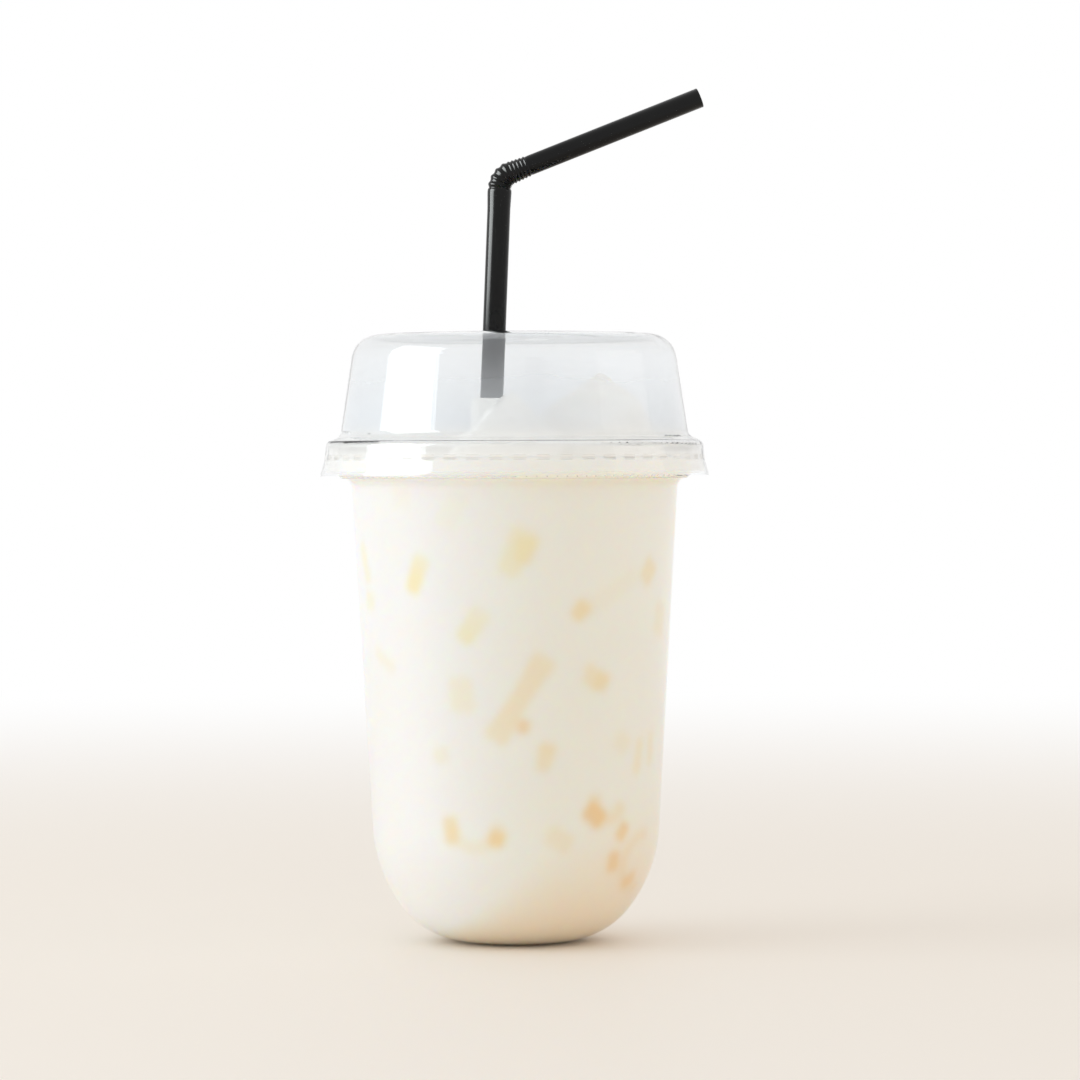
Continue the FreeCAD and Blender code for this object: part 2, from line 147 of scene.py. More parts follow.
def arc(centre, radius, start, end, steps):
    """Points along an arc in the (radius, height) plane, angles in degrees up from +X."""
    points = []
    for step in range(steps + 1):
        angle = math.radians(start + (end - start) * step / steps)
        points.append((centre[0] + radius * math.cos(angle),
                       centre[1] + radius * math.sin(angle)))
    return points


def spaced(points, pitch):
    """The same chain with points this far apart, keeping its corners."""
    chain = [points[0]]
    for before, after in zip(points, points[1:]):
        steps = max(1, round(math.dist(before, after) / pitch))
        for step in range(1, steps + 1):
            share = step / steps
            chain.append((before[0] + (after[0] - before[0]) * share,
                          before[1] + (after[1] - before[1]) * share))
    return chain


# ---------------------------------------------------------------- materials
def new_material(name):
    material = bpy.data.materials.new(name)
    material.use_nodes = True
    nodes = material.node_tree.nodes
    nodes.clear()
    return material, nodes, material.node_tree.links


def add(nodes, kind, inputs=(), **settings):
    """A node with its settings, and inputs as a mapping from name to value."""
    node = nodes.new(kind)
    for name, value in settings.items():
        setattr(node, name, value)
    for name, value in dict(inputs).items():
        node.inputs[name].default_value = value
    return node


def ease(nodes, links, source, low, high, to_low=0.0, to_high=1.0):
    """A value that eases from one level to another between two values of its source."""
    node = add(nodes, "ShaderNodeMapRange",
               {"From Min": low, "From Max": high, "To Min": to_low, "To Max": to_high},
               interpolation_type="SMOOTHSTEP")
    links.new(source, node.inputs["Value"])
    return node.outputs["Result"]


def mixed(nodes, links, share, first, second):
    """A colour mixed from two, each a colour or the output that gives it."""
    node = add(nodes, "ShaderNodeMix", data_type="RGBA")
    links.new(share, node.inputs["Factor"])
    for name, color in (("A", first), ("B", second)):
        if isinstance(color, tuple):
            node.inputs[name].default_value = (*color, 1)
        else:
            links.new(color, node.inputs[name])
    return node.outputs["Result"]


def object_place(nodes, links):
    """The place on the piece, whole and split into its three parts."""
    place = add(nodes, "ShaderNodeTexCoord").outputs["Object"]
    parts = add(nodes, "ShaderNodeSeparateXYZ")
    links.new(place, parts.inputs["Vector"])
    return place, parts.outputs


def give(piece, material):
    piece.data.materials.clear()
    piece.data.materials.append(material)


def give_node(name, material):
    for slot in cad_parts[name].material_slots:
        slot.material = material


def new_group(name, inputs, output, kind):
    """A node group with named sockets, inputs as (name, kind, value)."""
    group = bpy.data.node_groups.new(name, "ShaderNodeTree")
    for title, socket_kind, value in inputs:
        socket = group.interface.new_socket(title, in_out="INPUT", socket_type=socket_kind)
        if value is not None:
            socket.default_value = value
    group.interface.new_socket(output, in_out="OUTPUT", socket_type=kind)
    return group, add(group.nodes, "NodeGroupInput"), add(group.nodes, "NodeGroupOutput")


def ripple_group():
    """Slight waves in a surface, drawn out by Stretch, as a normal."""
    group, given, result = new_group("surface_ripple", (
        ("Vector", "NodeSocketVector", None), ("Stretch", "NodeSocketVector", (1, 1, 1)),
        ("Scale", "NodeSocketFloat", 60.0), ("Strength", "NodeSocketFloat", 0.06)),
        "Normal", "NodeSocketVector")
    stretch = add(group.nodes, "ShaderNodeMapping")
    ripple = add(group.nodes, "ShaderNodeTexNoise", {"Detail": 2.0})
    bump = add(group.nodes, "ShaderNodeBump", {"Distance": 0.001})
    group.links.new(given.outputs["Vector"], stretch.inputs["Vector"])
    group.links.new(given.outputs["Stretch"], stretch.inputs["Scale"])
    group.links.new(given.outputs["Scale"], ripple.inputs["Scale"])
    group.links.new(given.outputs["Strength"], bump.inputs["Strength"])
    group.links.new(stretch.outputs["Vector"], ripple.inputs["Vector"])
    group.links.new(ripple.outputs["Fac"], bump.inputs["Height"])
    group.links.new(bump.outputs["Normal"], result.inputs["Normal"])
    return group


def mottle_group():
    """Two close shades mixed by a fine cloud."""
    group, given, result = new_group("mottled_shade", (
        ("Vector", "NodeSocketVector", None), ("Scale", "NodeSocketFloat", 120.0),
        ("Dark", "NodeSocketColor", (0, 0, 0, 1)), ("Light", "NodeSocketColor", (1, 1, 1, 1))),
        "Color", "NodeSocketColor")
    cloud = add(group.nodes, "ShaderNodeTexNoise")
    mix = add(group.nodes, "ShaderNodeMix", data_type="RGBA")
    group.links.new(given.outputs["Vector"], cloud.inputs["Vector"])
    group.links.new(given.outputs["Scale"], cloud.inputs["Scale"])
    group.links.new(cloud.outputs["Fac"], mix.inputs["Factor"])
    group.links.new(given.outputs["Dark"], mix.inputs["A"])
    group.links.new(given.outputs["Light"], mix.inputs["B"])
    group.links.new(mix.outputs["Result"], result.inputs["Color"])
    return group


surface_ripple = ripple_group()
mottled_shade = mottle_group()


def ripple_into(nodes, links, shader, scale, strength, stretch):
    place = add(nodes, "ShaderNodeTexCoord")
    ripple = add(nodes, "ShaderNodeGroup", node_tree=surface_ripple)
    ripple.inputs["Stretch"].default_value = stretch
    ripple.inputs["Scale"].default_value = scale
    ripple.inputs["Strength"].default_value = strength
    links.new(place.outputs["Object"], ripple.inputs["Vector"])
    links.new(ripple.outputs["Normal"], shader.inputs["Normal"])


def mottle_into(nodes, links, shader, scale, dark, light):
    place = add(nodes, "ShaderNodeTexCoord")
    shade = add(nodes, "ShaderNodeGroup", node_tree=mottled_shade)
    shade.inputs["Scale"].default_value = scale
    shade.inputs["Dark"].default_value = (*dark, 1)
    shade.inputs["Light"].default_value = (*light, 1)
    links.new(place.outputs["Object"], shade.inputs["Vector"])
    links.new(shade.outputs["Color"], shader.inputs["Base Color"])


def let_light_in(nodes, links, shader, color):
    """Lets lamplight and scattered light straight through to what is behind a clear wall."""
    path = add(nodes, "ShaderNodeLightPath")
    open_way = add(nodes, "ShaderNodeBsdfTransparent", {"Color": (*color, 1)})
    for ray in ("Is Shadow Ray", "Is Diffuse Ray"):
        pick = add(nodes, "ShaderNodeMixShader")
        links.new(path.outputs[ray], pick.inputs["Fac"])
        links.new(shader.outputs[0], pick.inputs[1])
        links.new(open_way.outputs["BSDF"], pick.inputs[2])
        shader = pick
    finish(nodes, links, shader)


def finish(nodes, links, shader):
    out = add(nodes, "ShaderNodeOutputMaterial")
    links.new(shader.outputs[0], out.inputs["Surface"])


def clear_plastic(name, tint, grain):
    """Clear plastic that lets the light through to what it holds."""
    material, nodes, links = new_material(name)
    plastic = add(nodes, "ShaderNodeBsdfPrincipled", {
        "Base Color": (*tint, 1), "Roughness": 0.03, "IOR": 1.5, "Transmission Weight": 1.0})
    ripple_into(nodes, links, plastic, grain, 0.06, (1, 1, 0.12))
    let_light_in(nodes, links, plastic, (0.985, 0.99, 0.99))
    return material


# ---------------------------------------------------------------- cup and lid
give_node("cup", clear_plastic("clear_cup_plastic", (0.98, 0.985, 0.985), 90))
give_node("lid", clear_plastic("clear_lid_plastic", (0.965, 0.972, 0.976), 60))


# ---------------------------------------------------------------- mist inside the lid
LID_DRAFT = math.radians(8.6)
SKIRT_DRAFT = math.radians(6.0)
CROWN_FOOT = 42.52
SKIRT_INSIDE = 45.4
CORNER_INSIDE = 6.0
LID_WALL = 0.4
MIST_GAP = 0.06
HOLE_EDGE = 9.0


def crown_inside(height):
    """Inside radius of the lid's crown, in millimetres."""
    return (CROWN_FOOT - LID_WALL / math.cos(LID_DRAFT)
            - (height - RIM) * math.tan(LID_DRAFT))


def mist_rings():
    """The inside of the lid from its skirt, over the ledge and up the crown to its top."""
    chain = [(SKIRT_INSIDE + below * math.tan(SKIRT_DRAFT) - MIST_GAP, RIM - below)
             for below in (7.2, 5.2, 3.2, 1.4)]
    # over the rolled rim and the ledge
    chain += [(45.30, RIM - 0.75), (44.95, RIM - 0.22), (44.39, RIM + 0.06),
              (42.70, RIM + 0.85), (42.25, RIM + 1.2)]
    chain.append((crown_inside(RIM + 2.0) - MIST_GAP, RIM + 2.0))
    under_top = LID_TOP - LID_WALL - MIST_GAP
    bend = CORNER_INSIDE - MIST_GAP
    across = crown_inside(under_top - bend) - (MIST_GAP + bend) / math.cos(LID_DRAFT)
    chain += arc((across, under_top - bend), bend, math.degrees(LID_DRAFT), 90, 14)
    chain.append((HOLE_EDGE, under_top))
    return [(radius * MM, height * MM) for radius, height in spaced(chain, 1.6)]


def mist_material(low, high, low_share, high_share):
    """Fine droplets, whiter and denser low down, between two heights."""
    material, nodes, links = new_material("lid_mist")
    mist = add(nodes, "ShaderNodeBsdfPrincipled", {"Roughness": 0.5})
    place, parts = object_place(nodes, links)
    whiteness = ease(nodes, links, parts["Z"], low - 0.002, low + 0.006)
    links.new(mixed(nodes, links, whiteness, (0.99, 0.99, 0.975), (0.80, 0.86, 0.94)),
              mist.inputs["Base Color"])
    cloud = add(nodes, "ShaderNodeTexNoise", {"Scale": 70, "Detail": 4.0})
    thin = add(nodes, "ShaderNodeMapRange",
               {"From Min": 0.3, "From Max": 0.7, "To Min": 0.9, "To Max": 1.1})
    share = add(nodes, "ShaderNodeMath", operation="MULTIPLY")
    links.new(place, cloud.inputs["Vector"])
    links.new(cloud.outputs["Fac"], thin.inputs["Value"])
    links.new(ease(nodes, links, parts["Z"], low, high, low_share, high_share),
              share.inputs[0])
    links.new(thin.outputs["Result"], share.inputs[1])
    links.new(share.outputs["Value"], mist.inputs["Alpha"])
    let_light_in(nodes, links, mist, (1, 1, 1))
    return material


lid_mist = turned_shell("lid_mist", mist_rings(), 128)
give(lid_mist, mist_material(0.121, 0.146, 0.54, 0.13))
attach(lid_mist, "root")


# ---------------------------------------------------------------- straw
def straw_plastic():
    material, nodes, links = new_material("black_straw_plastic")
    plastic = add(nodes, "ShaderNodeBsdfPrincipled", {
        "Roughness": 0.19, "IOR": 1.5, "Specular IOR Level": 0.18})
    mottle_into(nodes, links, plastic, 120, (0.0025, 0.0025, 0.0028),
                (0.006, 0.0065, 0.0065))
    finish(nodes, links, plastic)
    return material


# The straw is made straight, with its ridges, and then laid along its bent line.
STRAW_TOP = Vector((-4.85, 0, LID_TOP))
LEAN = math.radians(2.4)
TURN = math.radians(66.0)
SWING = Matrix.Rotation(math.radians(3.0), 3, "Z")
BEND_RADIUS = 4.15
TIGHT_LENGTH = 4.7
SPOUT_LENGTH = 45.0
CORNER_RISE = 38.15
STRAW_FOOT = 1.4


def upright_by(angle):
    return Vector((math.sin(angle), 0, math.cos(angle)))


def straw_line():
    """The straw's line as knots with their handles, in millimetres, from its foot."""
    stem = upright_by(LEAN)
    spout = SWING @ upright_by(LEAN + TURN)
    bend = stem.angle(spout)
    corner = STRAW_TOP + stem * (CORNER_RISE / stem.z)
    reach = BEND_RADIUS * math.tan(bend / 2)
    pull = BEND_RADIUS * math.tan(bend / 4) * 4 / 3
    foot = STRAW_TOP - stem * ((STRAW_TOP.z - STRAW_FOOT) / stem.z)
    start, end = corner - stem * reach, corner + spout * reach
    tip = end + spout * (TIGHT_LENGTH + SPOUT_LENGTH)
    rise, run = (start - foot) / 3, (tip - end) / 3
    return [(foot - rise, foot, foot + rise), (start - rise, start, start + stem * pull),
            (end - spout * pull, end, end + run), (tip - run, tip, tip + run)]


def bellows(start, pitch, count, first, last, depth, steps=10):
    """Narrow ridges side by side, as rings of (radius, distance along the straw)."""
    rings = []
    for index in range(count):
        for step in range(steps):
            share = step / steps
            crown = first + (last - first) * (index + share) / count
            swell = (0.5 - 0.5 * math.cos(2 * math.pi * share)) ** 1.2
            rings.append((crown - depth * (1 - swell), start + pitch * (index + share)))
    return rings


def make_straw():
    line = straw_line()
    to_bend = (line[1][1] - line[0][1]).length
    bend = upright_by(LEAN).angle(SWING @ upright_by(LEAN + TURN)) * BEND_RADIUS
    to_spout = to_bend + bend + TIGHT_LENGTH
    body, spout, wall = 2.8, 2.42, 0.25
    outside = [(body, 0.0), (body, to_bend - 5.0), (body + 0.06, to_bend - 3.2),
               (body + 0.12, to_bend - 1.6), (body + 0.13, to_bend - 0.9),
               (body + 0.08, to_bend - 0.4), (body - 0.06, to_bend - 0.15)]
    outside += bellows(to_bend, bend / 4, 4, body + 0.1, body + 0.1, 0.30)
    outside += bellows(to_bend + bend, TIGHT_LENGTH / 5, 5, body + 0.05, spout + 0.14, 0.24)
    outside += [(spout - 0.08, to_spout), (spout - 0.02, to_spout + 0.35),
                (spout, to_spout + 0.8), (spout, to_spout + SPOUT_LENGTH - 0.08),
                (spout - 0.08, to_spout + SPOUT_LENGTH)]
    inside = [(radius - wall, along) for radius, along in reversed(outside[:-1])]
    inside[0] = (spout - wall, to_spout + SPOUT_LENGTH)
    chain = outside + inside + [outside[0]]
    straw = turned_shell("straw_bendy", [(r * MM, a * MM) for r, a in chain], 48)

    curve = bpy.data.curves.new("straw_line", "CURVE")
    curve.dimensions = "3D"
    curve.resolution_u = 48
    spline = curve.splines.new("BEZIER")
    spline.bezier_points.add(len(line) - 1)
    for knot, (before, here, after) in zip(spline.bezier_points, line):
        knot.handle_left_type = knot.handle_right_type = "FREE"
        knot.handle_left, knot.co, knot.handle_right = before * MM, here * MM, after * MM
    guide = bpy.data.objects.new("straw_line", curve)
    bpy.context.scene.collection.objects.link(guide)
    finish_modifier(straw, "CURVE", object=guide, deform_axis="POS_Z")
    bpy.data.objects.remove(guide)
    return straw


straw = make_straw()
give(straw, straw_plastic())
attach(straw, "root")
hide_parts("straw")


# ---------------------------------------------------------------- drink
# The drink fills the cup to half way into its wall, so that no air shows between them.
def milk_rings():
    """Rings of the drink from the middle of its underside, up the wall, to its top."""
    inset = 0.25
    heel_end = -90 + HEEL_TURN
    heel = arc((BASE_RADIUS, HEEL_RADIUS), HEEL_RADIUS - inset, -90, heel_end, 24)
    back = BELLY_RADIUS - HEEL_RADIUS
    turn = math.radians(heel_end)
    belly = arc((BASE_RADIUS - back * math.cos(turn), HEEL_RADIUS - back * math.sin(turn)),
                BELLY_RADIUS - inset, heel_end, -WALL_DRAFT, 24)
    neck_low = SHOULDER - 2.3
    wall_top = NECK_RADIUS - inset - 2.3 * math.tan(math.radians(WALL_DRAFT))
    neck = arc((wall_top + NECK_FILLET, neck_low), NECK_FILLET, 180, 110, 6)
    collar = NECK_RADIUS + COLLAR_STEP - inset
    # over the recess in the base, then up
    chain = [(0.6, 1.05), (7.0, 1.0), (8.6, 0.5), (9.4, inset), (BASE_RADIUS, inset)]
    chain += heel[1:] + belly[1:] + [(wall_top, neck_low)] + neck[1:]
    chain += [(collar - 1.0, SHOULDER + inset), (collar, SHOULDER + 1.2),
              (collar, MILK_TOP + 0.35), (collar - 0.5, MILK_TOP + 0.12),
              (collar - 1.4, MILK_TOP), (0.6, MILK_TOP)]
    return [(radius * MM, height * MM) for radius, height in spaced(chain, 0.8)]


milk = turned_solid("milk_drink", milk_rings(), 288)
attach(milk, "root")
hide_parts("milk")


# Jelly pieces lie just under the surface of the drink.
SIDE = [(radius / MM, height / MM) for radius, height in milk_rings()
        if radius / MM > 11 and height / MM < MILK_TOP]


LEAST_DEPTH = 0.12


def cup_radius(height):
    """Radius of the drink's side at a height, in millimetres."""
    for (low_radius, low), (high_radius, high) in zip(SIDE, SIDE[1:]):
        if low <= height < high:
            return low_radius + (high_radius - low_radius) * (height - low) / (high - low)
    return SIDE[0][0]


def lay_in(piece, azimuth, height, depth, lean, tip=0.0):
    """Lays a piece, made upright at the origin, along the inside of the cup's wall.
    Lean turns it in the wall's surface, and tip turns one end inwards."""
    turn = (Matrix.Rotation(math.radians(lean), 3, "Y")
            @ Matrix.Rotation(math.radians(tip), 3, "X"))
    for vertex in piece.data.vertices:
        across, inward, up = (turn @ vertex.co) / MM
        level = height + up
        out = cup_radius(level) - max(LEAST_DEPTH, depth + inward)
        angle = math.radians(azimuth) + across / cup_radius(level)
        vertex.co = Vector((math.sin(angle) * out, -math.cos(angle) * out, level)) * MM
    return settle(piece)


def jelly_strip(name, wide, long, thick, taper=1.0, waist=1.0):
    """A soft strip of jelly, upright about the origin, its outer face at y = 0."""
    start_afresh()
    bpy.ops.mesh.primitive_cube_add(size=1, location=(0, thick / 2 * MM, 0),
                                    scale=(wide * MM, thick * MM, long * MM))
    piece = bpy.context.object
    piece.name = name
    bpy.ops.object.transform_apply(location=True, rotation=True, scale=True)
    edit("EDGE")
    bpy.ops.mesh.select_all(action="SELECT")
    bpy.ops.mesh.subdivide(number_cuts=3)
    bpy.ops.object.mode_set(mode="OBJECT")
    for vertex in piece.data.vertices:
        up = vertex.co.z / (long * MM)
        vertex.co.x *= 1 + (taper - 1) * (0.5 - up)
        vertex.co.x *= 1 + (waist - 1) * (1 - (2 * up) ** 2)
    finish_modifier(piece, "SUBSURF", levels=2, render_levels=2)
    return piece


def jelly_curl(name, radius, thick, sweep, start, stretch=1.0):
    """A curl of jelly: an open ring round the origin, its outer side at y = 0."""
    start_afresh()
    bpy.ops.mesh.primitive_circle_add(vertices=10, radius=thick / 2 * MM,
                                      location=(radius * MM, thick / 2 * MM, 0),
                                      fill_type="NGON")
    piece = bpy.context.object
    piece.name = name
    edit("FACE")
    bpy.ops.mesh.spin(steps=24, angle=-math.radians(sweep), center=(0, thick / 2 * MM, 0),
                      axis=(0, 1, 0))
    bpy.ops.mesh.select_all(action="SELECT")
    bpy.ops.mesh.remove_doubles(threshold=1e-6)
    bpy.ops.mesh.normals_make_consistent(inside=False)
    bpy.ops.object.mode_set(mode="OBJECT")
    piece.rotation_euler = (0, math.radians(start), 0)
    bpy.ops.object.transform_apply(location=True, rotation=True, scale=True)
    piece.scale = (stretch, 1, 1)
    bpy.ops.object.transform_apply(location=True, rotation=True, scale=True)
    return piece


YELLOW = (0.96, 0.77, 0.36)
AMBER = (0.95, 0.69, 0.34)
ORANGE = (0.88, 0.58, 0.22)

jelly = []


def add_jelly(piece, azimuth, height, depth, lean, strength, tone, tip=0.0):
    """Lays a piece at its place: degrees to the right of the front, height, and depth
    under the surface.  Strength is how far its tone shows through the drink."""
    lay_in(piece, azimuth, height, depth, lean, tip)
    jelly.append((piece, strength, tone))


add_jelly(jelly_strip("jelly_01", 2.6, 7.5, 2.5, 0.6), -37, 90, 0.7, 22, 0.66, YELLOW, -8)
add_jelly(jelly_strip("jelly_02", 5.6, 10.0, 3.5, 0.5), 1, 95, 1.2, 26, 0.55, YELLOW)
add_jelly(jelly_strip("jelly_03", 2.6, 4.0, 2.5, 0.7), 4, 95.5, 0.3, 10, 0.34, YELLOW)
add_jelly(jelly_strip("jelly_04", 1.6, 8.0, 2.0, 0.6), -69, 92.3, 0.6, -22, 0.36, YELLOW)
add_jelly(jelly_strip("jelly_05", 2.5, 1.8, 2.0), -66, 83, 0.5, 10, 0.30, YELLOW)
add_jelly(jelly_strip("jelly_06", 3.4, 7.5, 3.0, 0.6), -15, 78, 0.9, 36, 0.46, YELLOW, -8)
add_jelly(jelly_strip("jelly_07", 1.8, 2.4, 3.0, 0.7), 24.5, 81.2, 0.5, 40, 0.60, AMBER)
add_jelly(jelly_strip("jelly_08", 3.4, 4.0, 3.0, 0.7), 56.5, 90, 0.7, 40, 0.50, AMBER)
add_jelly(jelly_strip("jelly_09", 2.4, 16.0, 2.0), 38, 85.5, 1.6, 62, 0.26, AMBER)
add_jelly(jelly_strip("jelly_10", 4.0, 6.0, 3.0), 67, 78.5, 1.2, 10, 0.40, AMBER)
add_jelly(jelly_strip("jelly_11", 7.5, 0.6, 2.0), -57, 69.0, 1.2, 28, 0.34, YELLOW)
add_jelly(jelly_strip("jelly_12", 5.4, 2.6, 3.0, 0.6), 31, 65.0, 0.8, 32, 0.46, AMBER)
add_jelly(jelly_strip("jelly_13", 1.8, 2.0, 2.5), 34, 64.2, 0.3, 20, 0.30, AMBER)
add_jelly(jelly_strip("jelly_14", 4.4, 21.5, 3.0, 1.0, 0.5), 2, 60.5, 0.7, 32, 0.46, AMBER)
add_jelly(jelly_strip("jelly_15", 4.0, 6.4, 3.0), -20, 61.5, 1.1, -5, 0.36, AMBER)
add_jelly(jelly_strip("jelly_16", 0.4, 0.8, 2.0), 3.2, 54, 0.6, 10, 0.56, ORANGE)
add_jelly(jelly_strip("jelly_17", 1.9, 4.6, 2.5, 0.6), 11.5, 46.5, 0.7, 14, 0.48, AMBER, 8)
add_jelly(jelly_strip("jelly_18", 2.0, 1.6, 2.0), -29, 47, 1.0, -20, 0.28, AMBER)
add_jelly(jelly_strip("jelly_19", 3.0, 2.4, 2.5), 45, 49.5, 1.2, 40, 0.32, AMBER)
add_jelly(jelly_strip("jelly_20", 0.7, 6.5, 2.0), 55, 46, 0.9, 8, 0.38, AMBER)
add_jelly(jelly_strip("jelly_21", 0.6, 6.0, 2.0), 64, 47.5, 1.0, 0, 0.34, AMBER)
add_jelly(jelly_curl("jelly_22", 5.6, 1.0, 150, 10), -16, 30, 1.1, 0, 0.34, AMBER)
add_jelly(jelly_strip("jelly_23", 1.4, 4.2, 2.2, 0.8), -26, 29.2, 0.4, -4, 0.56, AMBER)
add_jelly(jelly_strip("jelly_24", 1.3, 1.4, 2.2), -7.2, 27.4, 0.3, 20, 0.72, AMBER)
add_jelly(jelly_curl("jelly_25", 4.0, 1.8, 165, 15), 38.5, 34.6, 0.9, 10, 0.46, AMBER)
add_jelly(jelly_strip("jelly_26", 2.4, 3.6, 2.2), 32.5, 32.6, 0.3, -50, 0.66, ORANGE)
add_jelly(jelly_strip("jelly_27", 4.6, 2.6, 2.5), 17.5, 27.1, 1.1, 30, 0.42, AMBER)
add_jelly(jelly_curl("jelly_28", 6.2, 0.6, 180, 90, 1.3), 49.5, 14.6, 1.1, 0, 0.30, ORANGE)
add_jelly(jelly_strip("jelly_29", 0.9, 2.2, 2.0), 47, 28.2, 0.4, 35, 0.56, ORANGE)
add_jelly(jelly_strip("jelly_30", 1.1, 2.4, 2.0), 43.5, 21.2, 0.4, -5, 0.60, ORANGE)
add_jelly(jelly_strip("jelly_31", 2.4, 0.8, 2.0), 57, 16.4, 0.5, -20, 0.46, ORANGE)
add_jelly(jelly_strip("jelly_32", 3.6, 8.0, 3.0), -22, 105, 1.5, 30, 0.26, YELLOW)
add_jelly(jelly_strip("jelly_33", 4.0, 4.0, 3.0), -43, 108, 1.5, 0, 0.24, YELLOW)

# Round the sides and the back the pieces lie as they fall, one to each turn, and keep
# well apart from each other and from the pieces at the right edge of the front.
DRINK_RADIUS = 39
CLEAR_OF_EACH_OTHER = 13
FIRST_TURN, TURN_STEP, TURN_PLAY = 88, 7.9, 9
LOWEST_JELLY, HIGHEST_JELLY = 16, 106
ALL_YELLOW_ABOVE = 60
chance = random.Random(8)
taken = [(70.0, 78.5), (70.0, 47.0), (72.0, 20.0)]


def free_place(azimuth):
    """A place near this azimuth that keeps clear of the pieces already laid."""
    for _ in range(200):
        place = (azimuth + chance.uniform(-TURN_PLAY, TURN_PLAY),
                 chance.uniform(LOWEST_JELLY, HIGHEST_JELLY))
        if all(math.hypot(math.radians(place[0] - other[0]) * DRINK_RADIUS,
                          place[1] - other[1]) > CLEAR_OF_EACH_OTHER for other in taken):
            break
    taken.append(place)
    return place


for number in range(34, 58):
    azimuth, height = free_place(FIRST_TURN + (number - 34) * TURN_STEP)
    depth = chance.uniform(0.5, 1.3)
    lean = chance.uniform(-60, 60)
    strength = chance.uniform(0.26, 0.5)
    low_down = height < ALL_YELLOW_ABOVE
    tone = chance.choice((YELLOW, AMBER, AMBER, ORANGE)) if low_down else YELLOW
    shape = jelly_strip(f"jelly_{number}", chance.uniform(2.4, 4.6), chance.uniform(2.6, 7.5),
                        chance.uniform(2.2, 3.2), chance.uniform(0.5, 0.9))
    add_jelly(shape, azimuth, height, depth, lean, strength, tone, chance.uniform(-8, 8))


def jelly_material(name, tone):
    material, nodes, links = new_material(name)
    soft = add(nodes, "ShaderNodeBsdfPrincipled", {
        "Roughness": 0.2, "Subsurface Weight": 0.6, "Subsurface Radius": (1.0, 0.6, 0.3),
        "Subsurface Scale": 0.003})
    mottle_into(nodes, links, soft, 300, [part * 0.9 for part in tone], tone)
    finish(nodes, links, soft)
    return material


jelly_finish = {
    YELLOW: jelly_material("jelly_yellow", YELLOW),
    AMBER: jelly_material("jelly_amber", AMBER),
    ORANGE: jelly_material("jelly_orange", ORANGE),
}
for piece, _, tone in jelly:
    give(piece, jelly_finish[tone])
    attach(piece, "root")


# The drink takes on the colour of the jelly where a piece lies close under its surface.
FADE = 1.6 * MM
REACH = 4.2 * MM


def tint_drink(drink):
    shares = [0.0] * len(drink.data.vertices)
    tones = [(1.0, 1.0, 1.0)] * len(drink.data.vertices)
    places = [vertex.co.copy() for vertex in drink.data.vertices]
    for piece, strength, tone in jelly:
        tree = BVHTree.FromPolygons([vertex.co for vertex in piece.data.vertices],
                                    [face.vertices for face in piece.data.polygons])
        corners = [vertex.co for vertex in piece.data.vertices]
        low = [min(corner[axis] for corner in corners) - REACH for axis in range(3)]
        high = [max(corner[axis] for corner in corners) + REACH for axis in range(3)]
        for index, place in enumerate(places):
            if not all(low[axis] < place[axis] < high[axis] for axis in range(3)):
                continue
            away = tree.find_nearest(place, REACH)[3]
            if away is None:
                continue
            share = strength * math.exp(-(away / FADE) ** 2)
            total = 1 - (1 - shares[index]) * (1 - share)
            weight = share / max(1e-6, shares[index] + share)
            tones[index] = tuple(old * (1 - weight) + new * weight
                                 for old, new in zip(tones[index], tone))
            shares[index] = total
    amount = drink.data.attributes.new("jelly_share", "FLOAT", "POINT")
    color = drink.data.attributes.new("jelly_tone", "FLOAT_COLOR", "POINT")
    for index, (share, tone) in enumerate(zip(shares, tones)):
        amount.data[index].value = share
        color.data[index].color = (*tone, 1.0)


tint_drink(milk)


def milk_material():
    """White drink, with painted warm shade to the right, a darker amber foot that is partly
    settled amber and partly painted shade, and jelly.
    """
    material, nodes, links = new_material("milk_drink")
    drink = add(nodes, "ShaderNodeBsdfPrincipled", {
        "Roughness": 0.35, "IOR": 1.35, "Specular IOR Level": 0.3, "Subsurface Weight": 1.0,
        "Subsurface Radius": (1.0, 0.75, 0.5), "Subsurface Scale": 0.006})
    place, parts = object_place(nodes, links)
    # Painted shade: the drink's colour turns a warmer, darker beige towards its right side,
    # away from the lamps.
    across = ease(nodes, links, parts["X"], -0.024, 0.014)
    painted_warm_shade_right = mixed(nodes, links, across, (0.965, 0.955, 0.925), (0.955, 0.905, 0.825))
    # Darker amber at the foot, reaching higher on the right: partly settled amber, partly
    # painted shade under the drink and on its right side.
    settled_and_shade_top = ease(nodes, links, parts["X"], -0.030, 0.036, 0.001, 0.044)
    above = ease(nodes, links, parts["Z"], 0.0, 1.0)
    links.new(settled_and_shade_top, above.node.inputs["From Max"])
    settled_amber_and_painted_shade = mixed(nodes, links, above, (0.91, 0.77, 0.60), painted_warm_shade_right)
    cloud = add(nodes, "ShaderNodeTexNoise", {"Scale": 45, "Detail": 3.0})
    swirl = add(nodes, "ShaderNodeMapRange",
                {"From Min": 0.35, "From Max": 0.75, "To Max": 0.10})
    links.new(place, cloud.inputs["Vector"])
    links.new(cloud.outputs["Fac"], swirl.inputs["Value"])
    clouded = mixed(nodes, links, swirl.outputs["Result"], settled_amber_and_painted_shade, (0.94, 0.88, 0.77))
    share = add(nodes, "ShaderNodeAttribute", attribute_name="jelly_share")
    tone = add(nodes, "ShaderNodeAttribute", attribute_name="jelly_tone")
    links.new(mixed(nodes, links, share.outputs["Fac"], clouded, tone.outputs["Color"]),
              drink.inputs["Base Color"])
    finish(nodes, links, drink)
    return material


give(milk, milk_material())


